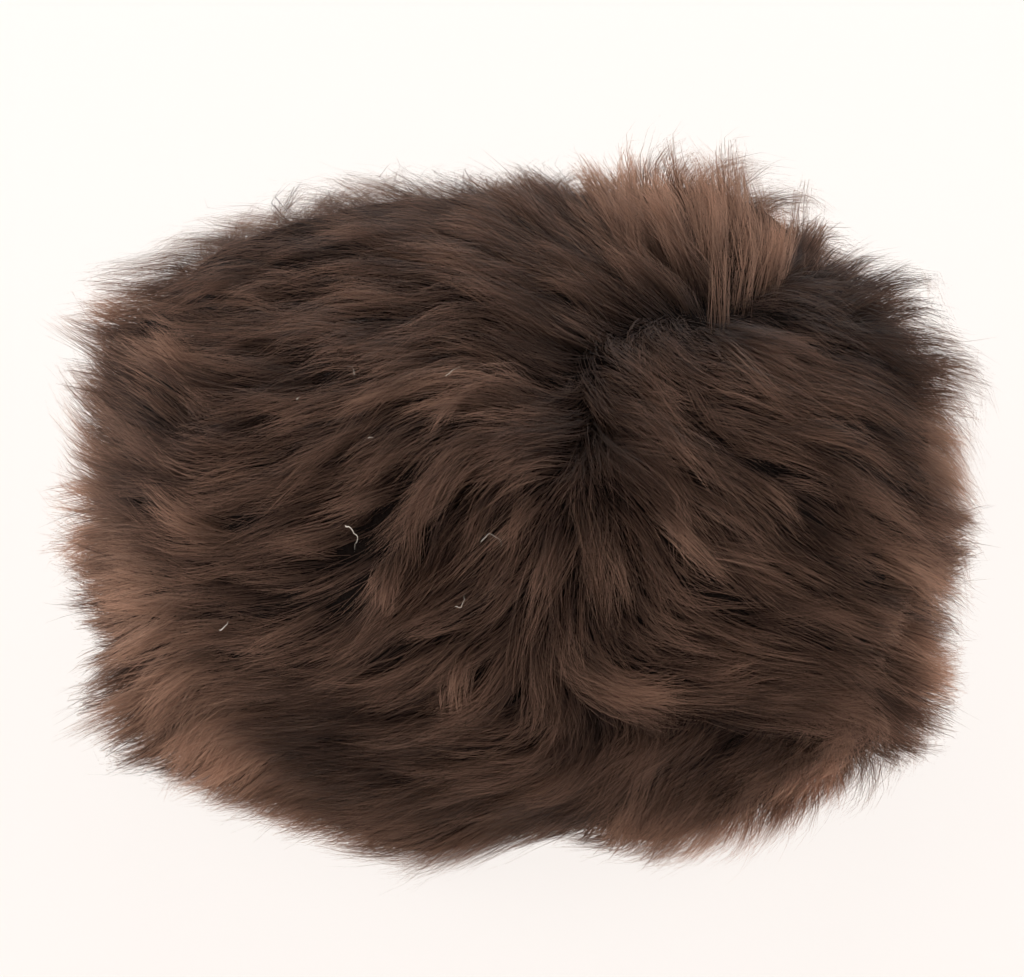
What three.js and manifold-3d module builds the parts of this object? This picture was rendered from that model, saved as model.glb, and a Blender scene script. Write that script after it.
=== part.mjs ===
// A shaggy sheepskin hat of the tall Central Asian kind, worn wool side out.
// A wall pelt is closed into a ring and a crown pelt is sewn on its top edge.
// Each pelt is its thin skin and the long fleece that grows on it, in locks.
// Millimetres, +Z up: X runs along the head oval, Y across it, and the rim stands on Z = 0.
import * as THREE from "three";
import { mergeVertices } from "three/addons/utils/BufferGeometryUtils.js";
import Module from "manifold-3d";

const wasm = await Module();
wasm.setup();

// Driving sizes of the skin
const HEAD_LENGTH = 202; // inside the rim, along X
const HEAD_BREADTH = 166; // inside the rim, along Y
const SKIN = 3; // thickness of the tanned skin
const OVAL_POWER = 2.3; // 2 is an ellipse, more is squarer
const SEAM_GAP = 0.3; // between pieces that are sewn or grown together
const SIDES = 36; // facets round the skin

// The skin's outer face from the rim up the wall and over the crown, a row for each section.
// height: above the rim. share: of the rim oval. lean: how far the soft section has slumped to +X.
// fleece: how far the tips of the wool stand off the skin there.
const SECTIONS = [
  { name: "rim", height: 0, share: 1.0, lean: 0, fleece: 27 },
  { name: "brow", height: 26, share: 1.02, lean: 2, fleece: 39 },
  { name: "temple", height: 62, share: 1.04, lean: 5, fleece: 44 },
  { name: "seam", height: 98, share: 1.0, lean: 9, fleece: 42 },
  { name: "shoulder", height: 115, share: 0.88, lean: 11, fleece: 40 },
  { name: "slope", height: 125, share: 0.62, lean: 12, fleece: 38 },
  { name: "top", height: 129, share: 0.3, lean: 13, fleece: 37 },
  { name: "centre", height: 130, share: 0, lean: 13, fleece: 35 },
];
const SEAM_ROW = SECTIONS.findIndex((row) => row.name === "seam");

// Fleece: a felted underwool with longer locks fused to it
const LONG_END_FLUFF = 1.17; // wool depth at the two ends of the oval, as a share of the table's
const BROAD_SIDE_FLUFF = 0.86; // wool depth on the two broad sides
const UNDERWOOL = 0.76; // share of the depth that is dense underwool
const LOCK_ROOT = 0.6; // share of the depth where a lock leaves the underwool
const LOCK_LENGTH = 66;
const LOCK_WIDTH = 25;
const LOCK_THICKNESS = 12;
const LOCK_STATIONS = 3;
const COMB_RADIUS = 124; // mean radius at which the wall's locks run round the hat
// How far one lock may differ from the next: shares, but radians for heading and mm for reach
const LOOSE = { place: 0.25, length: 0.15, width: 0.2, lift: 0.05, droop: 0.12, heading: 0.25, reach: 4 };
const RIM_CLEARANCE = 3; // lowest wool above the surface that the rim stands on
const CROWN_CLEARANCE = 0.5; // parting between the crown's locks and the wall's

// The crown's wool lies away from a whorl, in front of the crown's middle.
const WHORL = { x: 10, y: -34 };
// Rows of locks: reach is the way from the rim along the skin, lift is the lock's share of the depth.
const WALL_LOCK_ROWS = [
  { reach: 24, count: 17, droop: -0.3, lift: 0.95 },
  { reach: 50, count: 17, droop: -0.14, lift: 1.0 },
  { reach: 76, count: 17, droop: -0.02, lift: 1.0 },
];
const CROWN_LOCK_RINGS = [
  { fromCentre: 92, count: 18, lift: 0.95 },
  { fromCentre: 66, count: 15, lift: 1.0 },
  { fromCentre: 40, count: 11, lift: 1.0 },
  { fromCentre: 16, count: 6, lift: 0.95 },
];
// Tufts that break the outline. bearing: degrees from +X. turn and span: their half widths, in degrees
// round the hat and in mm along the skin. rise: share by which the wool is deeper, or shallower if negative.
const TUFTS = [
  { name: "rear_left_corner", bearing: 153, reach: 80, turn: 17, span: 42, rise: 0.46 },
  { name: "front_left_corner", bearing: 214, reach: 30, turn: 13, span: 30, rise: 0.3 },
  { name: "front_left_slope", bearing: 238, reach: 30, turn: 14, span: 44, rise: -0.22 },
  { name: "front_left_hang", bearing: 259, reach: 14, turn: 8, span: 26, rise: 0.2 },
  { name: "front_dip", bearing: 274, reach: 12, turn: 9, span: 34, rise: -0.36 },
  { name: "front_right_hang", bearing: 294, reach: 16, turn: 12, span: 28, rise: 0.16 },
  { name: "front_right_corner", bearing: 325, reach: 42, turn: 18, span: 46, rise: 0.44 },
  { name: "rear_right_notch", bearing: 38, reach: 100, turn: 10, span: 40, rise: -0.16 },
  { name: "rear_crest", bearing: 57, reach: 112, turn: 17, span: 34, rise: 0.24 },
  { name: "rear_middle", bearing: 92, reach: 112, turn: 24, span: 46, rise: -0.17 },
];

const RIM_A = HEAD_LENGTH / 2 + SKIN;
const RIM_B = HEAD_BREADTH / 2 + SKIN;
const RIM_MEAN = (RIM_A + RIM_B) / 2;

// A repeatable value from -1 to 1 for one lock and one use
function jitter(index, use) {
  const wave = Math.sin(index * 12.9898 + use * 78.233) * 43758.5453;
  return 2 * (wave - Math.floor(wave)) - 1;
}

// Fills in each row's distance from the rim along the skin, and its outward direction in the section plane.
function measureSections(rows) {
  let reach = 0;
  const measured = rows.map((row, i) => {
    const last = rows[Math.max(i - 1, 0)];
    reach += Math.hypot((row.share - last.share) * RIM_MEAN, row.height - last.height);
    return { ...row, reach };
  });
  measured.forEach((row, i) => {
    const below = measured[Math.max(i - 1, 0)];
    const above = measured[Math.min(i + 1, measured.length - 1)];
    const out = above.height - below.height;
    const up = (below.share - above.share) * RIM_MEAN;
    const size = Math.hypot(out, up);
    row.out = out / size;
    row.up = up / size;
  });
  measured[0].out = 1;
  measured[0].up = 0;
  measured.at(-1).out = 0;
  measured.at(-1).up = 1;
  return measured;
}
const PROFILE = measureSections(SECTIONS);
const CENTRE_REACH = PROFILE.at(-1).reach;

// The profile's values at any distance from the rim along the skin
function sectionAt(reach) {
  const held = THREE.MathUtils.clamp(reach, 0, CENTRE_REACH);
  const next = PROFILE.findIndex((row, i) => i > 0 && row.reach >= held - 1e-9);
  const [low, high] = [PROFILE[next - 1], PROFILE[next]];
  const t = (held - low.reach) / (high.reach - low.reach);
  const between = (key) => THREE.MathUtils.lerp(low[key], high[key], t);
  const [out, up] = [between("out"), between("up")];
  const size = Math.hypot(out, up);
  return {
    height: between("height"), share: between("share"), lean: between("lean"),
    fleece: between("fleece"), out: out / size, up: up / size, reach: held,
  };
}

// A point that stands off the skin at a bearing, on one section
function standOff(section, bearing, stand) {
  const [c, s] = [Math.cos(bearing), Math.sin(bearing)];
  const square = (v) => Math.sign(v) * Math.abs(v) ** (2 / OVAL_POWER);
  const a = RIM_A * section.share + section.out * stand;
  const b = RIM_B * section.share + section.out * stand;
  return new THREE.Vector3(
    section.lean + Math.max(a, 0) * square(c),
    Math.max(b, 0) * square(s),
    section.height + section.up * stand,
  );
}

// How deep the wool is at a bearing on a section, with its tufts
function fleeceDepth(section, bearing) {
  const degrees = THREE.MathUtils.radToDeg(bearing);
  const ends = Math.cos(bearing) ** 2;
  const fluff = THREE.MathUtils.lerp(BROAD_SIDE_FLUFF, LONG_END_FLUFF, ends);
  const rise = TUFTS.reduce((sum, tuft) => {
    const turn = THREE.MathUtils.euclideanModulo(degrees - tuft.bearing + 180, 360) - 180;
    const away = (turn / tuft.turn) ** 2 + ((section.reach - tuft.reach) / tuft.span) ** 2;
    return sum + tuft.rise * Math.exp(-away);
  }, 0);
  return section.fleece * (1 + (fluff - 1) * section.out + rise);
}

// Closed surface through rings of points; the ends close in a pole, or on each other when there is none.
function loft(rings, startPole, endPole) {
  const sides = rings[0].length;
  const points = rings.flat();
  const index = [];
  const at = (i, j) => (i % rings.length) * sides + (j % sides);
  const bands = startPole ? rings.length - 1 : rings.length;
  for (let i = 0; i < bands; i++) {
    for (let j = 0; j < sides; j++) {
      index.push(at(i, j), at(i, j + 1), at(i + 1, j + 1), at(i, j), at(i + 1, j + 1), at(i + 1, j));
    }
  }
  if (startPole) {
    const [start, end] = [points.push(startPole) - 1, points.push(endPole) - 1];
    for (let j = 0; j < sides; j++) {
      index.push(start, at(0, j + 1), at(0, j));
      index.push(end, at(rings.length - 1, j), at(rings.length - 1, j + 1));
    }
  }
  return new THREE.BufferGeometry().setFromPoints(points).setIndex(index);
}

// One ring of points round a section, at a distance from the skin that may change with the bearing
function ring(section, standAt) {
  return Array.from({ length: SIDES }, (_, j) => {
    const bearing = (j / SIDES) * 2 * Math.PI;
    return standOff(section, bearing, standAt(bearing));
  });
}

// At the rim and the seam the skin's cut edge is level, so it is offset sideways only.
function cutEdge(section) {
  return { ...section, out: 1, up: 0 };
}

function wallSkin() {
  const rows = PROFILE.slice(0, SEAM_ROW + 1).map((row, i) => (i === SEAM_ROW ? cutEdge(row) : row));
  const outer = rows.map((row) => ring(row, () => 0));
  const inner = rows.map((row) => ring(row, () => -SKIN)).reverse();
  return loft([...outer, ...inner]);
}

function crownSkin() {
  const edge = cutEdge({ ...PROFILE[SEAM_ROW], height: PROFILE[SEAM_ROW].height + SEAM_GAP });
  const rows = [edge, ...PROFILE.slice(SEAM_ROW + 1, -1)];
  const top = PROFILE.at(-1);
  const outer = rows.map((row) => ring(row, () => 0));
  const inner = rows.map((row) => ring(row, () => -SKIN)).reverse();
  return loft([...inner, ...outer], standOff(top, 0, -SKIN), standOff(top, 0, 0));
}

// The dense underwool of the wall, from just over the rim to the seam
function wallUnderwool() {
  const lowest = sectionAt(RIM_CLEARANCE);
  const rows = [cutEdge(lowest), ...PROFILE.slice(1, SEAM_ROW), sectionAt(PROFILE[SEAM_ROW].reach - 2)];
  const outer = rows.map((row) => ring(row, (bearing) => UNDERWOOL * fleeceDepth(row, bearing)));
  const inner = rows.map((row) => ring(row, () => SEAM_GAP)).reverse();
  return loft([...outer, ...inner]);
}

// The dense underwool of the crown, grown by a margin where it is used as a cutter
function crownUnderwool(margin) {
  const rows = [sectionAt(PROFILE[SEAM_ROW].reach + 1 - margin), ...PROFILE.slice(SEAM_ROW + 1, -1)];
  const top = PROFILE.at(-1);
  const depth = (row, bearing) => UNDERWOOL * fleeceDepth(row, bearing) + margin;
  const outer = rows.map((row) => ring(row, (bearing) => depth(row, bearing)));
  const inner = rows.map((row) => ring(row, () => SEAM_GAP - margin)).reverse();
  return loft([...inner, ...outer], standOff(top, 0, SEAM_GAP - margin), standOff(top, 0, depth(top, 0)));
}

// A tapered lock of wool with a diamond section, along stations of a point and its outward direction.
// A margin grows it all round.
function lock(stations, width, thickness, margin = 0) {
  const points = stations.map((station) => station.point);
  const tip = points.length - 1;
  const pastTip = points[tip].clone().sub(points[tip - 1]).setLength(2 * margin).add(points[tip]);
  const rings = stations.slice(0, -1).map(({ point, outward }, i) => {
    const along = points[i + 1].clone().sub(points[Math.max(i - 1, 0)]).normalize();
    const across = outward.clone().cross(along).normalize();
    const up = along.clone().cross(across);
    const taper = Math.sqrt(1 - i / tip);
    const [w, t] = [(width * taper) / 2 + margin, (thickness * taper) / 2 + margin];
    return [
      point.clone().addScaledVector(across, w), point.clone().addScaledVector(up, t),
      point.clone().addScaledVector(across, -w), point.clone().addScaledVector(up, -t),
    ];
  });
  return loft(rings, points[0], pastTip);
}

// The stations of a lock that rises from the underwool to the full depth as it travels over the skin
function lockStations(placeAt, lift) {
  return Array.from({ length: LOCK_STATIONS + 1 }, (_, i) => {
    const t = i / LOCK_STATIONS;
    const { section, bearing } = placeAt(t);
    const share = THREE.MathUtils.lerp(LOCK_ROOT, lift, Math.sqrt(t));
    const depth = fleeceDepth(section, bearing);
    const point = standOff(section, bearing, depth * share);
    const halfWidth = (LOCK_WIDTH / 2) * (1 + LOOSE.width) * Math.sqrt(1 - t);
    point.z = Math.max(point.z, RIM_CLEARANCE + halfWidth);
    return { point, outward: point.clone().sub(standOff(section, bearing, 0)).normalize() };
  });
}

// Locks of one row are spread evenly round the hat, and every other row is set half a place on.
function bearingOf(id, place, row, count) {
  return ((place + 0.5 * (row % 2) + LOOSE.place * jitter(id, 1)) / count) * 2 * Math.PI;
}

// Wall wool is combed round the hat, clockwise from above, and droops towards the rim.
function wallLocks() {
  return WALL_LOCK_ROWS.flatMap((row, k) =>
    Array.from({ length: row.count }, (_, i) => {
      const id = k * 100 + i;
      const start = bearingOf(id, i, k, row.count);
      const length = LOCK_LENGTH * (1 + LOOSE.length * jitter(id, 2));
      const droop = row.droop + LOOSE.droop * jitter(id, 3);
      const reach = row.reach + LOOSE.reach * jitter(id, 4);
      const placeAt = (t) => ({
        section: sectionAt(reach + droop * length * t),
        bearing: start - (length * t) / COMB_RADIUS,
      });
      const width = LOCK_WIDTH * (1 + LOOSE.width * jitter(id, 5));
      const lift = row.lift + LOOSE.lift * jitter(id, 6);
      return lock(lockStations(placeAt, lift), width, LOCK_THICKNESS);
    }),
  );
}

// Crown wool is combed away from the whorl and falls over the seam; margin grows the locks for a cutter.
function crownLocks(margin) {
  return CROWN_LOCK_RINGS.flatMap((row, k) =>
    Array.from({ length: row.count }, (_, i) => {
      const id = 500 + k * 100 + i;
      const turn = bearingOf(id, i, k, row.count);
      const root = new THREE.Vector2(Math.cos(turn), Math.sin(turn)).multiplyScalar(row.fromCentre);
      const away = root.clone().sub(new THREE.Vector2(WHORL.x, WHORL.y)).normalize();
      away.rotateAround(new THREE.Vector2(), LOOSE.heading * jitter(id, 2));
      const length = LOCK_LENGTH * (1 + LOOSE.length * jitter(id, 3));
      const placeAt = (t) => {
        const place = root.clone().addScaledVector(away, length * t);
        return { section: sectionAt(CENTRE_REACH - place.length()), bearing: place.angle() };
      };
      const width = LOCK_WIDTH * (1 + LOOSE.width * jitter(id, 4));
      return lock(lockStations(placeAt, row.lift), width, LOCK_THICKNESS, margin);
    }),
  );
}

function solid(geometry) {
  const merged = mergeVertices(geometry, 1e-4);
  return new wasm.Manifold(
    new wasm.Mesh({
      numProp: 3,
      vertProperties: merged.attributes.position.array,
      triVerts: new Uint32Array(merged.index.array),
    }),
  );
}

function fuse(head, locks) {
  return locks.reduce((whole, one) => whole.add(solid(one)), solid(head));
}

// The largest shell of a fused solid, without crumbs or hollows closed in between locks
function mainBody(fused) {
  return fused.decompose().sort((one, other) => other.volume() - one.volume())[0];
}

function geometryOf(manifold) {
  const mesh = manifold.getMesh();
  return new THREE.BufferGeometry()
    .setAttribute("position", new THREE.BufferAttribute(mesh.vertProperties, 3))
    .setIndex(new THREE.BufferAttribute(mesh.triVerts, 1));
}

const hideFinish = new THREE.MeshStandardMaterial({ color: 0xc9ab84, roughness: 0.9, metalness: 0 });
const woolFinish = new THREE.MeshStandardMaterial({ color: 0x3b2b23, roughness: 0.75, metalness: 0 });

function piece(name, geometry, finish) {
  const mesh = new THREE.Mesh(geometry, finish);
  mesh.name = name;
  return mesh;
}

const crownFleece = mainBody(fuse(crownUnderwool(0), crownLocks(0)));
const crownCutter = fuse(crownUnderwool(CROWN_CLEARANCE), crownLocks(CROWN_CLEARANCE));
const wallFleece = mainBody(fuse(wallUnderwool(), wallLocks()).subtract(crownCutter));

const hat = new THREE.Group();
hat.add(piece("wall_hide", wallSkin(), hideFinish));
hat.add(piece("crown_hide", crownSkin(), hideFinish));
hat.add(piece("wall_fleece", geometryOf(wallFleece), woolFinish));
hat.add(piece("crown_fleece", geometryOf(crownFleece), woolFinish));

// The middle of the whole hat's footprint goes to the origin.
const footprint = new THREE.Box3().setFromObject(hat).getCenter(new THREE.Vector3());
hat.children.forEach((mesh) => mesh.position.set(-footprint.x, -footprint.y, 0));

export default hat;
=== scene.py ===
"""Looks of the shaggy sheepskin hat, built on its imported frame."""
import math

import bpy
import numpy as np
from bpy.props import FloatProperty, FloatVectorProperty, IntProperty, PointerProperty
from mathutils import Matrix, Vector


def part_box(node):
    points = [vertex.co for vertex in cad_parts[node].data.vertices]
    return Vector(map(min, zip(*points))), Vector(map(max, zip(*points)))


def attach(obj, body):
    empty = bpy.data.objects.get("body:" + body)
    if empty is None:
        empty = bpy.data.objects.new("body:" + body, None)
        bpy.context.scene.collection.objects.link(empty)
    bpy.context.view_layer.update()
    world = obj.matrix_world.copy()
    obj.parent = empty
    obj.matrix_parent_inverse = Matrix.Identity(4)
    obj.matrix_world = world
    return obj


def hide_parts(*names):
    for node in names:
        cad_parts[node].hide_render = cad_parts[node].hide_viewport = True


bl_info = {
    "name": "Shaggy sheepskin hat",
    "version": (1, 0, 0),
    "blender": (4, 5, 0),
    "location": "View3D > Sidebar > Hat",
    "description": "Grows the wool, dresses the skins and sets the stage of a shaggy sheepskin hat",
    "category": "Add Mesh",
}

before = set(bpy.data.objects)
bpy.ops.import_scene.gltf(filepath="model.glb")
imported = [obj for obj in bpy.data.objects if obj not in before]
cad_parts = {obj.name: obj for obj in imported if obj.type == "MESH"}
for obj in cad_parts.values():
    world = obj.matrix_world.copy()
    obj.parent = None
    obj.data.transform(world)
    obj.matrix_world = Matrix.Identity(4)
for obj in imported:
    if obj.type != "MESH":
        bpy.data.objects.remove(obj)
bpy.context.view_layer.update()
MM = 0.001
SEED = 7

# The skin's outer face, as the part has it, in mm: height, share of the rim oval, lean to +X, wool depth
SKIN_HALF_LENGTH = 104.0
SKIN_HALF_BREADTH = 86.0
SKIN_THICKNESS = 3.0
OVAL_POWER = 2.3
SECTIONS = (
    ("rim", 0, 1.00, 0, 27),
    ("brow", 26, 1.02, 2, 39),
    ("temple", 62, 1.04, 5, 44),
    ("seam", 98, 1.00, 9, 42),
    ("shoulder", 115, 0.88, 11, 40),
    ("slope", 125, 0.62, 12, 38),
    ("top", 129, 0.30, 13, 37),
    ("centre", 130, 0.00, 13, 35),
)
LONG_END_FLUFF = 1.17
BROAD_SIDE_FLUFF = 0.86
# Tufts that break the outline: bearing and half width in degrees, reach and half span in mm, share of rise
TUFTS = (
    ("rear_left_corner", 153, 80, 17, 42, 0.46),
    ("front_left_corner", 214, 30, 13, 30, 0.30),
    ("front_left_slope", 238, 30, 14, 44, -0.22),
    ("front_left_hang", 259, 14, 8, 26, 0.20),
    ("front_dip", 274, 12, 9, 34, -0.36),
    ("front_right_hang", 294, 16, 12, 28, 0.16),
    ("front_right_corner", 325, 42, 18, 46, 0.44),
    ("rear_right_notch", 38, 100, 10, 40, -0.16),
    ("rear_crest", 57, 112, 17, 34, 0.24),
    ("rear_middle", 92, 112, 24, 46, -0.17),
)

# The photograph's view: where the point over the origin falls in the picture, and how large it is there
PHOTO_WIDTH, PHOTO_HEIGHT = 1024, 977
VIEW_ELEVATION = 50.0
VIEW_DISTANCE = 1300.0
VIEW_TARGET = (0.0, 0.0, 80.0)
TARGET_PIXEL = (518.0, 480.5)
PIXELS_PER_MM = 2.866
SENSOR_WIDTH = 36.0

# How the wool lies, read by region: pixel across, pixel down, heading of the tips (0 right, 90 up)
WHORL_PIXEL = (585, 432)
COMB_STROKES = {
    "rear_left": (
        (550, 205, 148), (450, 205, 168), (350, 210, 181), (290, 218, 196), (220, 245, 208), (150, 270, 216),
        (120, 290, 220), (540, 255, 158), (430, 255, 176), (320, 260, 187), (240, 285, 196), (480, 300, 168),
        (370, 300, 183),
    ),
    "crown_left": (
        (510, 355, 152), (430, 335, 198), (300, 335, 194), (230, 355, 188), (540, 395, 165), (450, 370, 202),
        (390, 390, 216), (310, 395, 198), (480, 410, 187), (400, 430, 207), (260, 430, 197), (535, 440, 190),
        (530, 480, 232), (450, 475, 228), (370, 465, 214), (280, 480, 203), (480, 525, 228), (400, 515, 228),
    ),
    "crown_left_low": (
        (300, 525, 196), (230, 555, 188), (520, 585, 240), (392, 572, 276), (366, 590, 222), (350, 572, 203),
        (375, 606, 212), (300, 580, 190), (450, 620, 195), (350, 625, 186), (250, 630, 181), (490, 650, 222),
        (400, 675, 206),
    ),
    "crown_front": (
        (560, 520, 252), (585, 570, 268), (630, 560, 292), (560, 625, 258), (610, 620, 278), (575, 670, 300),
        (605, 690, 345), (650, 683, 8), (545, 705, 268), (590, 715, 268),
    ),
    "crown_right": (
        (615, 385, 305), (650, 425, 308), (690, 435, 335), (670, 345, 290), (620, 480, 312), (690, 490, 318),
        (660, 545, 304), (725, 365, 318), (760, 400, 334), (760, 455, 327), (760, 530, 312), (830, 350, 325),
        (840, 410, 336), (840, 480, 324), (830, 560, 322), (700, 600, 322), (770, 600, 340), (700, 650, 345),
        (780, 650, 350), (860, 640, 334), (760, 675, 352), (835, 675, 334), (900, 450, 325), (910, 520, 320),
        (885, 590, 355),
    ),
    "crest": (
        (600, 205, 138), (650, 215, 128), (710, 210, 110), (770, 215, 97), (620, 270, 146), (680, 270, 130),
        (640, 300, 145), (735, 265, 114), (720, 290, 118), (775, 255, 102), (800, 240, 92),
    ),
    "rear_right": (
        (690, 325, 300), (740, 315, 325), (780, 295, 335), (815, 285, 345), (815, 315, 328), (770, 345, 322),
        (845, 262, 25), (850, 290, 350), (875, 270, 18), (905, 290, 350), (880, 320, 335), (920, 325, 335),
        (880, 360, 328), (940, 365, 330), (945, 430, 324),
    ),
    "left_end": (
        (92, 302, 148), (80, 322, 152), (100, 335, 145), (130, 350, 150), (100, 400, 140), (182, 402, 128),
        (225, 450, 194), (110, 460, 148), (160, 480, 152), (95, 540, 182), (185, 530, 152), (130, 590, 190),
        (150, 640, 202), (110, 680, 214), (95, 712, 188), (170, 700, 236), (205, 760, 238), (250, 790, 220),
        (220, 680, 192),
    ),
    "wall_front_left": (
        (270, 740, 178), (400, 735, 190), (500, 745, 188), (450, 775, 190), (340, 800, 188), (310, 825, 200),
        (400, 835, 198), (450, 845, 208), (520, 785, 188), (500, 820, 206), (560, 800, 196),
    ),
    "crown_front_edge": (
        (655, 706, 352), (700, 703, 4), (750, 706, 10), (805, 702, 350), (860, 706, 332),
    ),
    "wall_front_right": (
        (630, 745, 222), (680, 742, 214), (730, 738, 206), (780, 738, 198), (830, 742, 190), (880, 742, 180),
        (650, 772, 226), (700, 772, 212), (750, 772, 206), (800, 768, 200), (850, 762, 192), (640, 805, 226),
        (700, 802, 212), (760, 800, 208), (810, 788, 202), (690, 835, 214), (740, 828, 212), (660, 850, 218),
        (600, 825, 232), (585, 780, 240), (610, 760, 236),
    ),
    "right_end": (
        (885, 625, 350), (880, 660, 335), (885, 695, 325), (957, 568, 5), (947, 595, 14), (936, 625, 24),
        (940, 650, 18), (952, 668, 6), (958, 686, 0), (945, 705, 342), (925, 722, 345), (905, 738, 350),
    ),
}
# Patches of the coat: pixel across and down, radius in pixels, tone with painted light (above 0 lighter,
# mostly painted rim light and floor glow; below 0 darker, painted shade in hollows and partings), change of
# lift
PATCHES = (
    ("crest_left", 655, 190, 55, 0.85, -0.02),
    ("crest_start", 605, 172, 38, 0.75, 0.14),
    ("crest_right", 755, 192, 45, 0.6, -0.12),
    ("crest_edge", 802, 225, 28, 0.65, -0.12),
    ("crest_notch", 826, 258, 20, -0.3, -0.42),
    ("crest_foot", 740, 300, 45, -0.7, -0.05),
    ("rear_right_dark", 872, 312, 62, -1.0, 0.0),
    ("rear_right_bulge", 972, 375, 45, 0.2, 0.26),
    ("rear_right_top", 920, 275, 36, -0.3, 0.3),
    ("rear_left_flat", 140, 262, 40, 0.0, -0.16),
    ("rear_left_rise", 350, 188, 40, 0.1, 0.08),
    ("left_top_corner", 80, 306, 32, 0.7, 0.1),
    ("left_edge_high", 85, 420, 40, 0.65, 0.0),
    ("left_edge_low", 78, 535, 52, 1.0, 0.1),
    ("left_hollow", 166, 408, 22, -1.0, -0.45),
    ("left_ridge", 205, 425, 12, 0.0, 0.1),
    ("lower_left_band", 130, 615, 52, 0.65, 0.0),
    ("lower_left_tip", 85, 716, 24, 0.2, 0.3),
    ("lower_left_rise", 165, 690, 42, 0.45, 0.0),
    ("lower_left_nook", 130, 705, 20, -0.5, -0.1),
    ("lower_left_edge", 150, 748, 32, 0.3, -0.2),
    ("lower_left_hem", 220, 768, 55, 1.0, -0.08),
    ("front_left_hem", 310, 828, 48, 0.7, 0.2),
    ("front_left_shade", 340, 740, 60, -0.5, -0.05),
    ("crown_gap", 430, 566, 20, -1.0, -0.42),
    ("crown_gap_tuft", 390, 575, 15, 0.2, 0.06),
    ("whorl_shade", 590, 445, 45, -0.5, -0.05),
    ("parting_shade", 650, 310, 40, -0.4, 0.0),
    ("rear_shade", 540, 330, 50, -0.4, 0.0),
    ("left_sheen", 460, 400, 60, 0.12, 0.0),
    ("front_seam", 577, 735, 22, -0.5, -0.15),
    ("front_gap", 578, 845, 48, 0.0, -0.4),
    ("front_hem", 630, 838, 40, 0.6, 0.0),
    ("front_right_hem", 720, 850, 50, 1.4, 0.1),
    ("front_right_shade", 740, 735, 60, -0.3, 0.0),
    ("right_hem", 835, 790, 50, 1.4, -0.14),
    ("right_end_fluff", 945, 678, 32, 1.3, 0.03),
    ("right_end_fringe", 916, 572, 20, 0.6, 0.06),
    ("right_fold_fringe", 882, 635, 18, 0.45, 0.05),
    ("right_fold_high", 948, 578, 16, -1.0, -0.55),
    ("right_fold_upper", 930, 606, 15, -1.0, -0.55),
    ("right_fold", 917, 634, 15, -1.0, -0.5),
    ("right_fold_low", 906, 664, 15, -0.9, -0.45),
    ("right_fold_end", 901, 694, 15, -0.8, -0.4),
    ("right_end_gap", 966, 550, 17, -1.0, -0.5),
    ("right_end_low", 972, 625, 44, 0.0, -0.26),
    ("right_end_nook", 915, 720, 24, -0.5, -0.1),
    ("right_edge", 958, 460, 46, 0.75, 0.0),
)
# Tufts that stand out: root pixel, heading, length in mm, bend, locks, scatter in pixels, lift, tone with
# painted light (above 0 lighter, painted rim light; below 0 darker, painted shade)
TUFT_LOCKS = (
    ("left_ridge_end", 192, 388, 122, 28, 25, 4, 5, 1.02, 0.1),
    ("left_edge_tuft", 215, 545, 158, 30, -20, 4, 6, 1.08, 0.3),
    ("crown_gap_tuft", 384, 552, 285, 20, -25, 4, 5, 1.03, 0.1),
    ("crown_curl", 470, 655, 225, 22, 80, 4, 7, 1.03, 0.1),
    ("front_lock", 560, 668, 320, 36, 55, 7, 8, 1.03, 0.15),
    ("front_lock_low", 590, 690, 345, 36, 35, 6, 9, 1.02, 0.12),
    ("whorl_lock_left", 570, 440, 195, 34, 20, 6, 9, 1.04, 0.1),
    ("lower_left_tuft", 150, 690, 203, 30, -12, 9, 8, 1.1, 0.3),
    ("right_end_fringe", 905, 545, 300, 30, 50, 9, 14, 1.1, 0.5),
    ("right_end_lock", 922, 625, 290, 22, 50, 6, 9, 1.0, 0.6),
    ("crest_fan_left", 690, 265, 122, 36, -12, 8, 18, 1.02, 0.3),
    ("crest_fan", 750, 275, 104, 36, -12, 9, 18, 1.02, 0.4),
    ("crest_fan_right", 782, 285, 95, 36, -5, 8, 8, 1.04, 0.45),
    ("rear_right_tuft", 845, 300, 30, 32, -30, 6, 10, 1.05, -0.4),
    ("front_edge_left", 690, 712, 8, 38, -8, 9, 10, 0.98, 0.0),
    ("front_edge_right", 760, 716, 4, 38, -12, 9, 10, 0.98, 0.0),
)
# Fibres of lint caught in the coat: pixel, heading, length in mm, bend in degrees
LINT = (
    ("crown_left_curl", 358, 384, 60, 7, 150),
    ("crown_middle_curl", 446, 388, 70, 8, -140),
    ("crown_low_curl", 352, 528, 350, 10, -110),
    ("gap_curl", 484, 548, 60, 9, -160),
    ("gap_low_curl", 458, 606, 20, 9, 120),
    ("left_fibre", 234, 622, 10, 6, 40),
    ("left_speck", 301, 408, 80, 2, 0),
    ("crown_speck", 373, 446, 40, 2, 0),
    ("rear_speck", 205, 345, 0, 2, 0),
)
PATCH_PAINTED_LIGHT_AND_TONE, PATCH_LIFT = 4, 5

# How far a stroke counts in mm, and what the lie is where no stroke is near
STROKE_REACH = 11.0
BASE_WEIGHT = 0.02
WHORL_FALL = 0.2
# Share of the wool's depth that the photograph shows as its face
SEEN_SHARE = 0.85
# Facing of the coat to the view: least that shows, least that a heading is read with, and where it is sure
SHOWN_FACING = 0.06
LEAST_FACING = 0.35
FULL_TRUST = 0.4
LEAST_TRUST = 0.1
# Slope at which wool rises from the coat as it lies
WOOL_RISE = 0.3
SPOTTER_RINGS, SPOTTER_SPOKES = 140, 420

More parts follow.
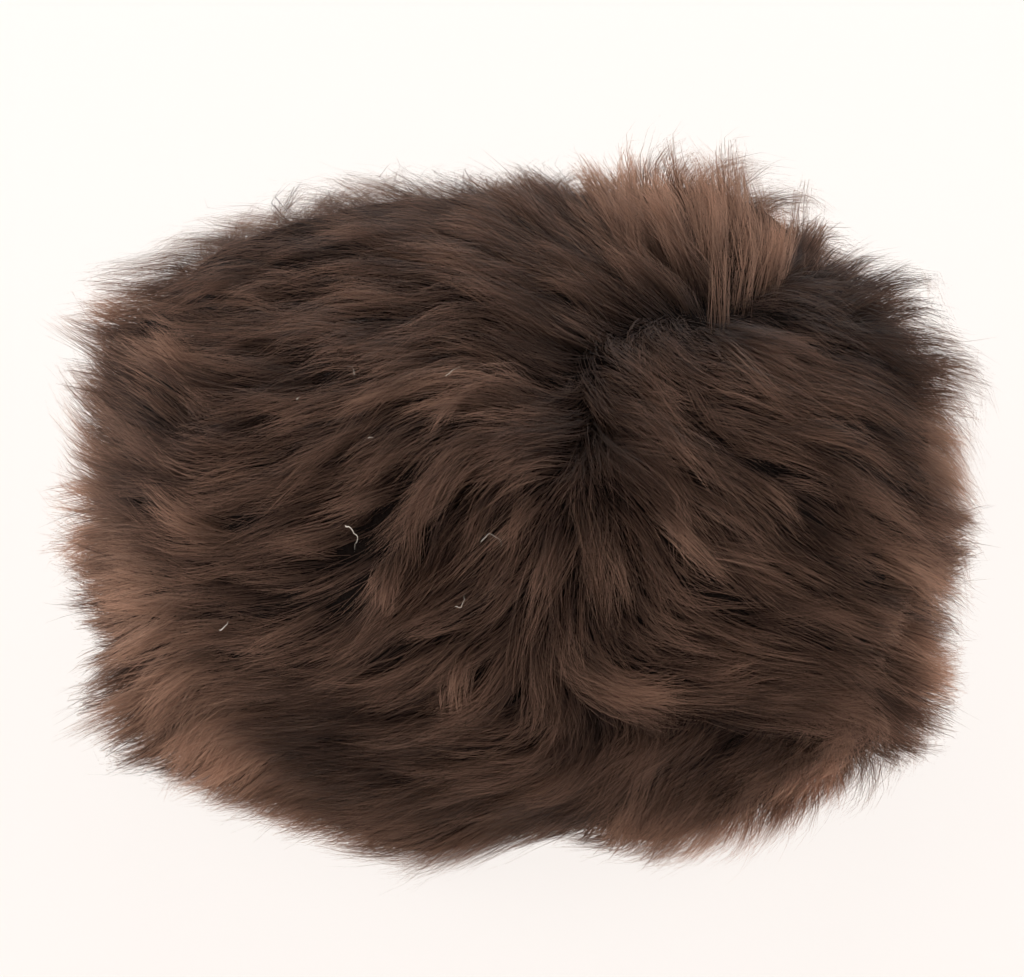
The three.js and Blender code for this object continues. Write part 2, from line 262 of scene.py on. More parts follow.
# Locks of wool, in mm, and shares of the wool's depth
LOCK_SPACING = 6.0
LOCK_POINTS = 9
LOCK_ROOT_SHARE = 0.45
LOCK_BACK_SHARE = (0.25, 0.65)
LOCK_LIFT = 0.95
LAY_SUBSTEPS = 2
BACK_STEPS = 8
HEM_LOCKS = 130
HEM_ROOT_SHARE = 0.08
# Painted light from the lit floor below, on locks within this reach of the hem and strongest at the edge;
# then the random spread of lightness from lock to lock
HEM_REACH = 45.0
HEM_PAINTED_LIGHT = 0.55
BLEACH_SPREAD = 0.1
LINT_LIFT = 0.99
FLOOR_CLEARANCE = 2.5
STRAND_POINTS = 5
UNDERWOOL_SHARE = 0.68
UNDERWOOL_LEAST = 0.3
RING_SIDES = 160

# Soft lights, in m
LIGHT_SIZE = 1.2
LIGHT_AIM = (0, 0, 0.08)
KEY_PLACE = (-0.7, -0.2, 1.5)
LEFT_PLACE = (-1.35, 0.1, 0.35)
RIGHT_PLACE = (1.35, 0.1, 0.35)
RIGHT_SHARE = 0.75
FRONT_PLACE = (0.1, -1.5, 0.12)
REAR_PLACE = (0.1, 1.4, 0.5)

WALL_WOOL = ("wall_wool_right_rear", "wall_wool_left_rear", "wall_wool_left_front", "wall_wool_right_front")
CROWN_WOOL = ("crown_wool_left", "crown_wool_right")


def oval(value):
    return np.sign(value) * np.abs(value) ** (2 / OVAL_POWER)


def unit(vectors):
    return vectors / np.maximum(np.linalg.norm(vectors, axis=-1, keepdims=True), 1e-9)


def dot(first, second):
    return np.sum(first * second, axis=-1)


class Pelt:
    """The hat's skin and the depth of its wool, in mm. A place is a plan vector from the crown's centre,
    as long as the way to it along the skin."""

    def __init__(self):
        self.height, self.share, self.lean, self.fleece = np.array([row[1:] for row in SECTIONS], float).T
        mean = (SKIN_HALF_LENGTH + SKIN_HALF_BREADTH) / 2
        run = np.hypot(np.diff(self.share) * mean, np.diff(self.height))
        self.reach = np.concatenate([[0.0], np.cumsum(run)])
        self.full = self.reach[-1]
        self.seam = self.reach[[row[0] for row in SECTIONS].index("seam")]
        height = np.pad(self.height, 1, mode="edge")
        share = np.pad(self.share, 1, mode="edge")
        facing = unit(np.stack([height[2:] - height[:-2], (share[:-2] - share[2:]) * mean], axis=-1))
        facing[0] = (1, 0)
        facing[-1] = (0, 1)
        self.out, self.up = facing.T
        low, high = (np.array(corner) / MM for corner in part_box("crown_hide"))
        self.middle = (low + high) / 2
        self.middle[0] -= np.interp(self.seam, self.reach, self.lean)

    def column(self, name, reach):
        return np.interp(reach, self.reach, getattr(self, name))

    def facing(self, reach):
        return unit(np.stack([self.column("out", reach), self.column("up", reach)], axis=-1))

    def depth(self, reach, bearing):
        degrees = np.degrees(bearing)
        fluff = BROAD_SIDE_FLUFF + (LONG_END_FLUFF - BROAD_SIDE_FLUFF) * np.cos(bearing) ** 2
        share = 1 + (fluff - 1) * self.facing(reach)[..., 0]
        for _, middle, at_reach, turn, span, rise in TUFTS:
            away = (degrees - middle + 180) % 360 - 180
            share = share + rise * np.exp(-((away / turn) ** 2) - ((reach - at_reach) / span) ** 2)
        return self.column("fleece", reach) * share

    def place(self, reach, bearing):
        return (self.full - reach)[..., None] * np.stack([np.cos(bearing), np.sin(bearing)], axis=-1)

    def point(self, place, share, stand=0.0):
        reach = self.full - np.hypot(place[..., 0], place[..., 1])
        bearing = np.arctan2(place[..., 1], place[..., 0])
        held = np.clip(reach, 0, self.full)
        facing = self.facing(held)
        off = share * self.depth(held, bearing) + stand
        ring = self.column("share", held)
        out = facing[..., 0] * off
        x = self.column("lean", held) + (SKIN_HALF_LENGTH * ring + out) * oval(np.cos(bearing))
        y = (SKIN_HALF_BREADTH * ring + out) * oval(np.sin(bearing))
        z = self.column("height", held) + facing[..., 1] * off + np.minimum(reach, 0)
        return np.stack([x + self.middle[0], y + self.middle[1], z], axis=-1)

    def axes(self, place, share=0.8, step=0.5):
        across, along = np.array([step, 0.0]), np.array([0.0, step])
        first = (self.point(place + across, share) - self.point(place - across, share)) / (2 * step)
        second = (self.point(place + along, share) - self.point(place - along, share)) / (2 * step)
        return first, second, unit(np.cross(first, second))

    def move(self, place, axes, way):
        """The place that lies one small step on, in a direction given in space."""
        first, second, _ = axes
        aa, ab, bb = dot(first, first), dot(first, second), dot(second, second)
        aw, bw = dot(first, way), dot(second, way)
        det = np.maximum(aa * bb - ab * ab, 1e-6)
        return place + np.stack([(bb * aw - ab * bw) / det, (aa * bw - ab * aw) / det], axis=-1)


class View:
    """The photograph's camera, in mm."""

    def __init__(self):
        tilt = math.radians(VIEW_ELEVATION)
        self.right = np.array([1.0, 0.0, 0.0])
        self.up = np.array([0.0, math.sin(tilt), math.cos(tilt)])
        self.back = np.array([0.0, -math.cos(tilt), math.sin(tilt)])
        self.focal = PIXELS_PER_MM * VIEW_DISTANCE
        aside = (TARGET_PIXEL[0] - PHOTO_WIDTH / 2) / PIXELS_PER_MM
        below = (PHOTO_HEIGHT / 2 - TARGET_PIXEL[1]) / PIXELS_PER_MM
        self.eye = np.array(VIEW_TARGET) + self.back * VIEW_DISTANCE - self.right * aside - self.up * below

    def pixels(self, points):
        seen = points - self.eye
        away = -seen @ self.back
        across = PHOTO_WIDTH / 2 + self.focal * (seen @ self.right) / away
        down = PHOTO_HEIGHT / 2 - self.focal * (seen @ self.up) / away
        return np.stack([across, down], axis=-1)


class Spotter:
    """Finds the places on the pelt that the photograph's pixels show."""

    def __init__(self, pelt, view):
        rings = np.linspace(0, pelt.full - 0.5, SPOTTER_RINGS)
        spokes = np.linspace(-np.pi, np.pi, SPOTTER_SPOKES)
        reach, bearing = np.meshgrid(rings, spokes)
        self.place = pelt.place(reach.ravel(), bearing.ravel())
        points = pelt.point(self.place, SEEN_SHARE)
        normal = pelt.axes(self.place)[2]
        shown = normal @ view.back > SHOWN_FACING
        self.place, self.points, self.normal = self.place[shown], points[shown], normal[shown]
        self.pixels = view.pixels(self.points)

    def at(self, pixel):
        return int(np.argmin(np.sum((self.pixels - np.array(pixel)) ** 2, axis=-1)))


class Lie:
    """The direction in which the wool lies at any place on the pelt."""

    def __init__(self, pelt, view, spotter):
        self.pelt = pelt
        self.view = view
        self.whorl = spotter.points[spotter.at(WHORL_PIXEL)]
        strokes = [stroke for group in COMB_STROKES.values() for stroke in group]
        found = [spotter.at(stroke[:2]) for stroke in strokes]
        self.points = spotter.points[found]
        self.ways = self.in_view([stroke[2] for stroke in strokes], spotter.normal[found])
        self.trust = np.clip(spotter.normal[found] @ view.back / FULL_TRUST, LEAST_TRUST, 1)

    def in_view(self, heading, normal):
        """Directions along the coat of wool that the photograph shows with a heading in degrees.
        Wool also rises from the coat as it goes, and the view shows that too."""
        turn = np.radians(heading)
        flat = np.cos(turn)[:, None] * self.view.right + np.sin(turn)[:, None] * self.view.up
        facing = normal @ self.view.back
        flat = flat - WOOL_RISE * (normal - facing[:, None] * self.view.back)
        slope = dot(flat, normal) / np.maximum(facing, LEAST_FACING)
        return unit(flat - slope[:, None] * self.view.back)

    def at(self, place):
        axes = self.pelt.axes(place)
        first, second, normal = axes
        points = self.pelt.point(place, SEEN_SHARE)
        out = unit(place)
        down = unit(first * out[:, :1] + second * out[:, 1:])
        clockwise = unit(first * out[:, 1:] - second * out[:, :1])
        reach = np.clip(self.pelt.full - np.linalg.norm(place, axis=-1), 0, None)
        wall = self.pelt.facing(reach)[:, :1] ** 2
        base = (1 - wall) * unit(points - self.whorl) + wall * unit(clockwise + WHORL_FALL * down)
        gap = np.sum((points[:, None] - self.points[None]) ** 2, axis=-1)
        weight = np.exp(-gap / (2 * STROKE_REACH ** 2))
        way = weight @ (self.ways * self.trust[:, None]) + BASE_WEIGHT * base
        return axes, unit(way - np.sum(way * normal, axis=-1, keepdims=True) * normal)


def even_places(pelt, spacing, rng):
    """Places set evenly over the whole pelt, each a little out of line."""
    rows = []
    fine = np.linspace(0, 2 * np.pi, 721)
    for reach in np.arange(spacing * 0.6, pelt.full - spacing * 0.3, spacing):
        ring = pelt.point(pelt.place(np.full_like(fine, reach), fine), 0.5)
        walked = np.concatenate([[0], np.cumsum(np.linalg.norm(np.diff(ring, axis=0), axis=1))])
        count = max(3, round(walked[-1] / spacing))
        spots = (np.arange(count) + rng.uniform(0.1, 0.9, count)) / count * walked[-1]
        bearing = np.interp(spots, walked, fine)
        rows.append(pelt.place(reach + rng.uniform(-0.4, 0.4, count) * spacing, bearing))
    return np.concatenate(rows)


def patches_at(points, spotter, column):
    """What the patches add at points of the coat, in one of their columns."""
    total = np.zeros(len(points))
    for patch in PATCHES:
        middle = spotter.points[spotter.at(patch[1:3])]
        spread = patch[3] / PIXELS_PER_MM
        total += patch[column] * np.exp(-np.sum((points - middle) ** 2, axis=-1) / spread ** 2)
    return total


def lay(pelt, spotter, place, length, lift, steer, root_share=LOCK_ROOT_SHARE):
    """Lines that rise out of the underwool and then lie along the coat, with its outward directions.
    The steer function gives the way on at a place, from the axes there and the way so far."""
    line, outward = [], []
    way = None
    for k in range(LOCK_POINTS):
        t = k / (LOCK_POINTS - 1)
        crest = lift + patches_at(pelt.point(place, SEEN_SHARE), spotter, PATCH_LIFT)
        share = root_share + (crest - root_share) * (1 - (1 - t) ** 2)
        points = pelt.point(place, share)
        points[:, 2] = np.maximum(points[:, 2], FLOOR_CLEARANCE)
        line.append(points)
        outward.append(pelt.axes(place)[2])
        for _ in range(LAY_SUBSTEPS):
            axes, way = steer(place, way)
            place = pelt.move(place, axes, way * (length / ((LOCK_POINTS - 1) * LAY_SUBSTEPS))[:, None])
    return np.stack(line, axis=1), np.stack(outward, axis=1)


def turned(way, normal, angle):
    return way * np.cos(angle)[:, None] + np.cross(normal, way) * np.sin(angle)[:, None]


def curl(pelt, spotter, place, first, bend, length, lift, root_share):
    """Lines that set out in their own directions and bend by the same small angle at every step."""
    def steer(spot, way):
        axes = pelt.axes(spot)
        held = first if way is None else turned(way, axes[2], bend)
        return axes, unit(held - np.sum(held * axes[2], axis=-1, keepdims=True) * axes[2])

    return lay(pelt, spotter, place, length, lift, steer, root_share)


def combed(lie, stray):
    """A steer function that follows the lie of the wool, with each lock a little astray."""
    def steer(spot, _):
        axes, way = lie.at(spot)
        return axes, turned(way, axes[2], stray)

    return steer


def coat_locks(pelt, lie, spotter, wool, rng):
    """Locks all over the coat. Each is followed back from its middle to its root, so that a parting is
    covered from both sides."""
    place = even_places(pelt, LOCK_SPACING, rng)
    count = len(place)
    length = wool.lock_length / MM * (1 + 0.2 * rng.standard_normal(count)).clip(0.55, 1.5)
    lift = (LOCK_LIFT + 0.07 * rng.standard_normal(count)).clip(0.78, 1.12)
    stray = 0.22 * rng.standard_normal(count)
    back = length * rng.uniform(*LOCK_BACK_SHARE, count) / BACK_STEPS
    for _ in range(BACK_STEPS):
        axes, way = lie.at(place)
        place = pelt.move(place, axes, -way * back[:, None])
        place = unit(place) * np.minimum(np.linalg.norm(place, axis=-1, keepdims=True), pelt.full - 1)
    line, outward = lay(pelt, spotter, place, length, lift, combed(lie, stray))
    # Painted light and painted shade from the patches, plus a random tone for each lock
    lock_tone_and_painted_light = patches_at(line[:, LOCK_POINTS // 2], spotter, PATCH_PAINTED_LIGHT_AND_TONE)
    lock_tone_and_painted_light += BLEACH_SPREAD * rng.standard_normal(count)
    reach = pelt.full - np.linalg.norm(place, axis=-1)
    # Painted light near the hem, as if the lit floor lit these locks from below
    lock_tone_and_painted_light += HEM_PAINTED_LIGHT * np.clip(1 - reach / HEM_REACH, 0, 1)
    return place, line, outward, lock_tone_and_painted_light


def hem_locks(pelt, lie, spotter, wool, rng):
    """Locks from the very edge of the skin, which cover the coat from below."""
    count = HEM_LOCKS
    bearing = (np.arange(count) + rng.random(count)) / count * 2 * np.pi
    place = pelt.place(rng.uniform(0.5, 3.0, count), bearing)
    stray = 0.2 * rng.standard_normal(count)
    length = wool.lock_length / MM * rng.uniform(0.8, 1.2, count)
    lift = rng.uniform(0.5, 1.0, count)
    line, outward = lay(pelt, spotter, place, length, lift, combed(lie, stray), HEM_ROOT_SHARE)
    return place, line, outward, BLEACH_SPREAD * rng.standard_normal(count)


def tuft_locks(pelt, lie, spotter, rng):
    """The tufts that stand out of the coat, each a few locks side by side that bend together."""
    table = [row for row in TUFT_LOCKS for _ in range(row[6])]
    _, x, y, heading, length, bend, _, width, lift, lock_tone_and_painted_light = zip(*table)
    count = len(table)
    scatter = rng.standard_normal((count, 2)) * np.array(width)[:, None]
    found = [spotter.at((px + dx, py + dy)) for px, py, (dx, dy) in zip(x, y, scatter)]
    place = spotter.place[found]
    first = lie.in_view(np.array(heading) + 9 * rng.standard_normal(count), spotter.normal[found])
    length = np.array(length) * rng.uniform(0.75, 1.1, count)
    bend = np.radians(np.array(bend) + 10 * rng.standard_normal(count)) / (LOCK_POINTS * LAY_SUBSTEPS)
    line, outward = curl(pelt, spotter, place, first, bend, length, np.array(lift), LOCK_ROOT_SHARE)
    # Painted light and painted shade of the tufts, plus a random tone for each lock
    return place, line, outward, np.array(lock_tone_and_painted_light) + BLEACH_SPREAD * rng.standard_normal(count)


def lint_lines(pelt, lie, spotter):
    """Loose fibres that lie on top of the coat."""
    _, x, y, heading, length, bend = zip(*LINT)
    found = [spotter.at(pixel) for pixel in zip(x, y)]
    first = lie.in_view(np.array(heading, float), spotter.normal[found])
    bend = np.radians(np.array(bend, float)) / (LOCK_POINTS * LAY_SUBSTEPS)
    length = np.array(length, float)
    lift = np.full(len(LINT), LINT_LIFT)
    return curl(pelt, spotter, spotter.place[found], first, bend, length, lift, LINT_LIFT)


class Sock:
    """A node's socket that takes part in arithmetic: each operation adds its Math node."""

    def __init__(self, tree, socket):
        self.tree = tree
        self.socket = socket

    def math(self, operation, first, second):
        return self.tree.node("ShaderNodeMath", {"operation": operation}, {0: first, 1: second}).out()

    def __add__(self, other):
        return self.math("ADD", self, other)

    def __radd__(self, other):
        return self.math("ADD", other, self)

    def __sub__(self, other):
        return self.math("SUBTRACT", self, other)

    def __rsub__(self, other):
        return self.math("SUBTRACT", other, self)

    def __mul__(self, other):
        return self.math("MULTIPLY", self, other)

    def __rmul__(self, other):
        return self.math("MULTIPLY", other, self)

    def __pow__(self, other):
        return self.math("POWER", self, other)


class Made:
    """A node that was just added, for its outputs."""

    def __init__(self, tree, node):
        self.tree = tree
        self.node = node

    def out(self, name=None):
        shown = [s for s in self.node.outputs if s.enabled]
        return Sock(self.tree, next(s for s in shown if name in (None, s.name, s.identifier)))


class Tree:
    """A node tree, of a material or of geometry, whose nodes are added in one way."""

    def __init__(self, tree):
        self.tree = tree
        tree.nodes.clear()

    def node(self, kind, settings=None, values=None):
        node = self.tree.nodes.new(kind)
        for name, value in (settings or {}).items():
            if name == "captures":
                for label, data_type in value:
                    node.capture_items.new(data_type, label)
            else:
                setattr(node, name, value)
        for key, value in (values or {}).items():
            self.feed(self.find(node, key), value)
        return Made(self, node)

    def find(self, node, key):
        if isinstance(key, int):
            return node.inputs[key]
        shown = [s for s in node.inputs if s.enabled]
        return next(s for s in shown if key in (s.identifier, s.name))

    def feed(self, socket, value):
        if isinstance(value, Sock):
            self.tree.links.new(value.socket, socket)
        else:
            socket.default_value = value

    def mix(self, share, first, second):
        values = {"Factor": share, "A": first, "B": second}
        return self.node("ShaderNodeMix", {"data_type": "RGBA"}, values).out("Result")

    def vector(self, operation, first, second):
        return self.node("ShaderNodeVectorMath", {"operation": operation}, {0: first, 1: second}).out()

    def scaled(self, vector, scale):
        node = self.node("ShaderNodeVectorMath", {"operation": "SCALE"}, {0: vector, "Scale": scale})
        return node.out()

    def random(self, seed, low=0.0, high=1.0):
        kind = "FLOAT_VECTOR" if isinstance(low, tuple) else "FLOAT"
        values = {"Min": low, "Max": high, "Seed": seed}
        return self.node("FunctionNodeRandomValue", {"data_type": kind}, values).out("Value")

    def stored(self, name, kind):
        node = self.node("GeometryNodeInputNamedAttribute", {"data_type": kind}, {"Name": name})
        return node.out("Attribute")

    def noise(self, place, detail):
        """A vector from -0.5 to 0.5 each way, which varies smoothly with its place."""
        values = {"Vector": place, "Scale": 1.0, "Detail": detail}
        cloud = self.node("ShaderNodeTexNoise", {}, values).out("Color")
        return self.vector("SUBTRACT", cloud, (0.5, 0.5, 0.5))


def rgba(colour):
    return (*colour, 1.0)


def new_material(name):
    material = bpy.data.materials.new(name)
    material.use_nodes = True
    return material, Tree(material.node_tree)


def wool_material(wool):
    """Long dark wool: darker roots, lighter tips, and each strand a little different; painted light lightens
    the tips at the rims and hem, and painted shade darkens hollows and partings.
    """
    material, tree = new_material("wool_strands")
    strand = tree.node("ShaderNodeAttribute", {"attribute_name": "strand"}).out("Vector")
    parts = tree.node("ShaderNodeSeparateXYZ", {}, {0: strand})
    along, tone, lock_tone_and_painted_light = parts.out("X"), parts.out("Y"), parts.out("Z")
    body = tree.mix(tone, rgba(wool.dark_colour), rgba(wool.light_colour))
    root = tree.node("ShaderNodeMapRange", {"interpolation_type": "SMOOTHSTEP"},
                     {"Value": along, "From Min": 0.15, "From Max": 0.75}).out()
    shaft = tree.mix(root, rgba(wool.root_colour), body)
    # Painted shade: a value below 0 darkens the strands towards the root colour, in hollows and partings
    shaded = tree.mix(lock_tone_and_painted_light * -1.0, shaft, rgba(wool.root_colour))
    # Tips lighten a little; painted light lightens them much further at the rims and near the hem
    tip = 0.15 * along ** 1.5 * tone + 0.5 * along ** 8.0 + lock_tone_and_painted_light * along ** 0.7
    colour = tree.mix(tip, shaded, rgba(wool.tip_colour))
    shader = tree.node("ShaderNodeBsdfPrincipled", {}, {
        "Base Color": colour, "Roughness": 0.6, "Specular IOR Level": 0.08})
    through = tree.node("ShaderNodeBsdfTranslucent", {}, {"Color": rgba(wool.glow_colour)}).out()
    glow = wool.glow * (0.2 + 1.5 * along ** 3.0)
    mixed = tree.node("ShaderNodeMixShader", {}, {0: glow, 1: shader.out(), 2: through}).out()
    tree.node("ShaderNodeOutputMaterial", {}, {"Surface": mixed})
    return material


def underwool_material(wool):
    """Felted dark wool under the locks, with painted light from the lit floor near its bottom."""
    material, tree = new_material("underwool")
    place = tree.node("ShaderNodeTexCoord").out("Object")
    fuzz = tree.node("ShaderNodeTexNoise", {}, {"Vector": place, "Scale": 900.0, "Detail": 3.0}).out("Fac")
    height = tree.node("ShaderNodeSeparateXYZ", {}, {0: place}).out("Z")
    # Painted light: the underwool turns lighter near the floor, as if lit from the floor below
    painted_floor_glow = tree.node("ShaderNodeMapRange", {}, {"Value": height, "From Min": 0.004, "From Max": 0.03,
                                               "To Min": 1.0, "To Max": 0.0}).out()
    dark = tree.mix(fuzz, rgba([0.25 * c for c in wool.root_colour]), rgba(wool.root_colour))
    colour = tree.mix(painted_floor_glow, dark, tree.mix(fuzz, rgba(wool.root_colour), rgba(wool.light_colour)))
    bump = tree.node("ShaderNodeBump", {}, {"Height": fuzz, "Strength": 0.8, "Distance": 0.002}).out()
    shader = tree.node("ShaderNodeBsdfPrincipled", {}, {
        "Base Color": colour, "Roughness": 0.95, "Specular IOR Level": 0.1, "Normal": bump})
    tree.node("ShaderNodeOutputMaterial", {}, {"Surface": shader.out()})
    return material


def hide_material(hide):
    """Tanned skin, flesh side: matt suede with blotches, fine nap and creases."""
    material, tree = new_material("suede_hide")
    place = tree.node("ShaderNodeTexCoord").out("Object")
    blotch = tree.node("ShaderNodeTexNoise", {}, {"Vector": place, "Scale": 26.0, "Detail": 5.0}).out("Fac")
    nap = tree.node("ShaderNodeTexNoise", {}, {"Vector": place, "Scale": 1400.0, "Detail": 2.0}).out("Fac")
    crease = tree.node("ShaderNodeTexVoronoi", {"feature": "DISTANCE_TO_EDGE"},
                       {"Vector": place, "Scale": 120.0}).out("Distance")
    worn = tree.node("ShaderNodeMapRange", {}, {"Value": blotch, "From Min": 0.35, "From Max": 0.65}).out()
    colour = tree.mix(worn, rgba(hide.dark_colour), rgba(hide.light_colour))
    grain = nap * 0.5 + crease * 2.0 + blotch * 0.8
    bump = tree.node("ShaderNodeBump", {}, {"Height": grain, "Strength": 0.5, "Distance": 0.001}).out()
    shader = tree.node("ShaderNodeBsdfPrincipled", {}, {
        "Base Color": colour, "Roughness": 0.9, "Specular IOR Level": 0.2, "Sheen Weight": 0.3,
        "Normal": bump})
    tree.node("ShaderNodeOutputMaterial", {}, {"Surface": shader.out()})
    return material


def new_object(name, mesh):
    thing = bpy.data.objects.new(name, mesh)
    bpy.context.scene.collection.objects.link(thing)
    return thing


def settle(thing, node):
    """A finished piece rides on the hat and stands for its part."""
    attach(thing, "root")
    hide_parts(node)


def shell(name, loops, poles=()):
    """A closed skin through loops of points; without poles the last loop closes on the first."""
    sides = len(loops[0])
    points = np.concatenate(loops)
    ring = np.arange(sides)
    after = (ring + 1) % sides
    pairs = [(k, k + 1) for k in range(len(loops) - 1)]
    if not poles:
        pairs.append((len(loops) - 1, 0))
    faces = []
    for low, high in pairs:
        below, above = low * sides, high * sides
        faces += np.stack([below + ring, below + after, above + after, above + ring], 1).tolist()
    if poles:
        start, end = len(points), len(points) + 1
        points = np.concatenate([points, np.array(poles)])
        last = (len(loops) - 1) * sides
        faces += [[start, int(b), int(a)] for a, b in zip(ring, after)]
        faces += [[end, int(last + a), int(last + b)] for a, b in zip(ring, after)]
    mesh = bpy.data.meshes.new(name)
    mesh.from_pydata((points * MM).tolist(), [], faces)
    mesh.shade_smooth()
    return new_object(name, mesh)


def ring_places(pelt, reach):
    """Places all round the hat at one reach."""
    bearing = np.arange(RING_SIDES) / RING_SIDES * 2 * np.pi
    return pelt.place(np.full(RING_SIDES, float(reach)), bearing)


def loop(pelt, reach, share, stand):
    return pelt.point(ring_places(pelt, reach), share, stand)


def felt_loop(pelt, spotter, reach):
    """A loop on the underwool, which sinks with the coat's hollows."""
    place = ring_places(pelt, reach)
    sunk = np.minimum(patches_at(pelt.point(place, SEEN_SHARE), spotter, PATCH_LIFT), 0)
    return pelt.point(place, np.maximum(UNDERWOOL_SHARE + sunk, UNDERWOOL_LEAST))


def strand_tree():
    """Geometry nodes that split each lock's centre line into strands and make them spread, waved ribbons."""
    group = bpy.data.node_groups.new("wool_strands", "GeometryNodeTree")
    tree = Tree(group)
    sockets = (
        ("Lock lines", "NodeSocketGeometry"), ("Strands", "NodeSocketInt"), ("Points", "NodeSocketInt"),
        ("Root spread", "NodeSocketFloat"), ("Tip spread", "NodeSocketFloat"), ("Width", "NodeSocketFloat"),
        ("Wave", "NodeSocketFloat"), ("Crimp", "NodeSocketFloat"), ("Flyaway", "NodeSocketFloat"),
        ("Clearance", "NodeSocketFloat"), ("Roll", "NodeSocketFloat"), ("Seed", "NodeSocketInt"),
        ("Wool", "NodeSocketMaterial"),
    )
    for name, kind in sockets:
        group.interface.new_socket(name, in_out="INPUT", socket_type=kind)
    group.interface.new_socket("Strands", in_out="OUTPUT", socket_type="NodeSocketGeometry")
    given = tree.node("NodeGroupInput")
    seed = given.out("Seed")
    curves = tree.node("GeometryNodeMeshToCurve", {}, {"Mesh": given.out("Lock lines")}).out()
    many = tree.node("GeometryNodeDuplicateElements", {"domain": "SPLINE"},
                     {"Geometry": curves, "Amount": given.out("Strands")}).out("Geometry")
    spread = tree.random(seed, (-1, -1, -1), (1, 1, 1))
    tone = tree.random(seed + 1)
    full = tree.random(seed + 2, 0.68, 1.0)
    fly = tree.random(seed + 3)
    captures = (("Spread", "VECTOR"), ("Tone", "FLOAT"), ("Full", "FLOAT"), ("Fly", "FLOAT"))
    kept = tree.node("GeometryNodeCaptureAttribute", {"domain": "CURVE", "captures": captures},
                     {"Geometry": many, "Spread": spread, "Tone": tone, "Full": full, "Fly": fly})
    cut = tree.node("GeometryNodeTrimCurve", {"mode": "FACTOR"},
                    {"Curve": kept.out("Geometry"), "Start": 0.0, "End": kept.out("Full")}).out()
    even = tree.node("GeometryNodeResampleCurve", {}, {"Curve": cut, "Count": given.out("Points")}).out()
    along = tree.node("GeometryNodeSplineParameter").out("Factor")
    gather = given.out("Root spread") + along * (given.out("Tip spread") - given.out("Root spread"))
    loose = along ** 2.0 * kept.out("Fly") ** 5.0 * given.out("Flyaway")
    fan = tree.scaled(kept.out("Spread"), gather + loose)
    here = tree.node("GeometryNodeInputPosition").out()
    own = tree.vector("ADD", tree.scaled(here, 60.0), tree.scaled(kept.out("Spread"), 1.3))
    sway = tree.scaled(tree.noise(own, 2.0), given.out("Wave") * along)
    fine = tree.vector("ADD", tree.scaled(here, 420.0), tree.scaled(kept.out("Spread"), 40.0))
    crimp = tree.scaled(tree.noise(fine, 0.0), given.out("Crimp"))
    bent = tree.vector("ADD", tree.vector("ADD", here, fan), tree.vector("ADD", sway, crimp))
    apart = tree.node("ShaderNodeSeparateXYZ", {}, {0: bent})
    above = apart.out("Z").math("MAXIMUM", apart.out("Z"), given.out("Clearance"))
    held = tree.node("ShaderNodeCombineXYZ", {}, {0: apart.out("X"), 1: apart.out("Y"), 2: above}).out()
    moved = tree.node("GeometryNodeSetPosition", {}, {"Geometry": even, "Position": held}).out()
    # Each lock's tone with its painted light and painted shade goes on to the material
    colouring = {0: along, 1: kept.out("Tone"), 2: tree.stored("lock_tone_and_painted_light", "FLOAT")}
    strand = tree.node("ShaderNodeCombineXYZ", {}, colouring).out()
    marked = tree.node("GeometryNodeStoreNamedAttribute", {"data_type": "FLOAT_VECTOR", "domain": "POINT"},
                       {"Geometry": moved, "Name": "strand", "Value": strand}).out()
    taper = given.out("Width") * (1.04 - along ** 1.3) * (0.6 + 0.8 * kept.out("Tone"))
    turn = tree.scaled(kept.out("Spread"), given.out("Roll"))
    roll = tree.vector("ADD", tree.stored("outward", "FLOAT_VECTOR"), turn)
    rolled = tree.node("GeometryNodeSetCurveNormal", {"mode": "FREE"},
                       {"Curve": marked, "Normal": roll}).out()
    blade = tree.node("GeometryNodeCurvePrimitiveLine", {}, {"Start": (0, -0.5, 0), "End": (0, 0.5, 0)}).out()
    body = tree.node("GeometryNodeCurveToMesh", {},
                     {"Curve": rolled, "Profile Curve": blade, "Scale": taper}).out()
    smooth = tree.node("GeometryNodeSetShadeSmooth", {}, {"Geometry": body}).out()
    real = tree.node("GeometryNodeRealizeInstances", {}, {"Geometry": smooth}).out()
    dressed = tree.node("GeometryNodeSetMaterial", {},
                        {"Geometry": real, "Material": given.out("Wool")}).out()
    tree.node("NodeGroupOutput", {}, {"Strands": dressed})
    return group


def plain_mesh(thing, name):
    """The evaluated geometry of an object as a plain mesh object; the object itself is removed."""
    seen = thing.evaluated_get(bpy.context.evaluated_depsgraph_get())
    mesh = bpy.data.meshes.new_from_object(seen)
    mesh.name = name
    bpy.data.objects.remove(thing)
    return new_object(name, mesh)


def dress(thing, group, settings):
    """Adds a geometry tree to an object, with its inputs set by their identifiers."""
    inputs = [item for item in group.interface.items_tree if item.in_out == "INPUT"]
    identifiers = {item.name: item.identifier for item in inputs}
    modifier = thing.modifiers.new(group.name, "NODES")
    modifier.node_group = group
    for name, value in settings.items():
        modifier[identifiers[name]] = value


def lock_lines(name, lines, outward, lock_tone_and_painted_light):
    count, points = lines.shape[:2]
    first = (np.arange(count)[:, None] * points + np.arange(points - 1)[None]).ravel()
    mesh = bpy.data.meshes.new(name)
    mesh.from_pydata((lines.reshape(-1, 3) * MM).tolist(), np.stack([first, first + 1], 1).tolist(), [])
    # Each lock's tone with its painted light and painted shade, for the material
    mesh.attributes.new("lock_tone_and_painted_light", "FLOAT", "POINT").data.foreach_set("value", np.repeat(lock_tone_and_painted_light, points))
    mesh.attributes.new("outward", "FLOAT_VECTOR", "POINT").data.foreach_set("vector", outward.ravel())
    return new_object(name, mesh)


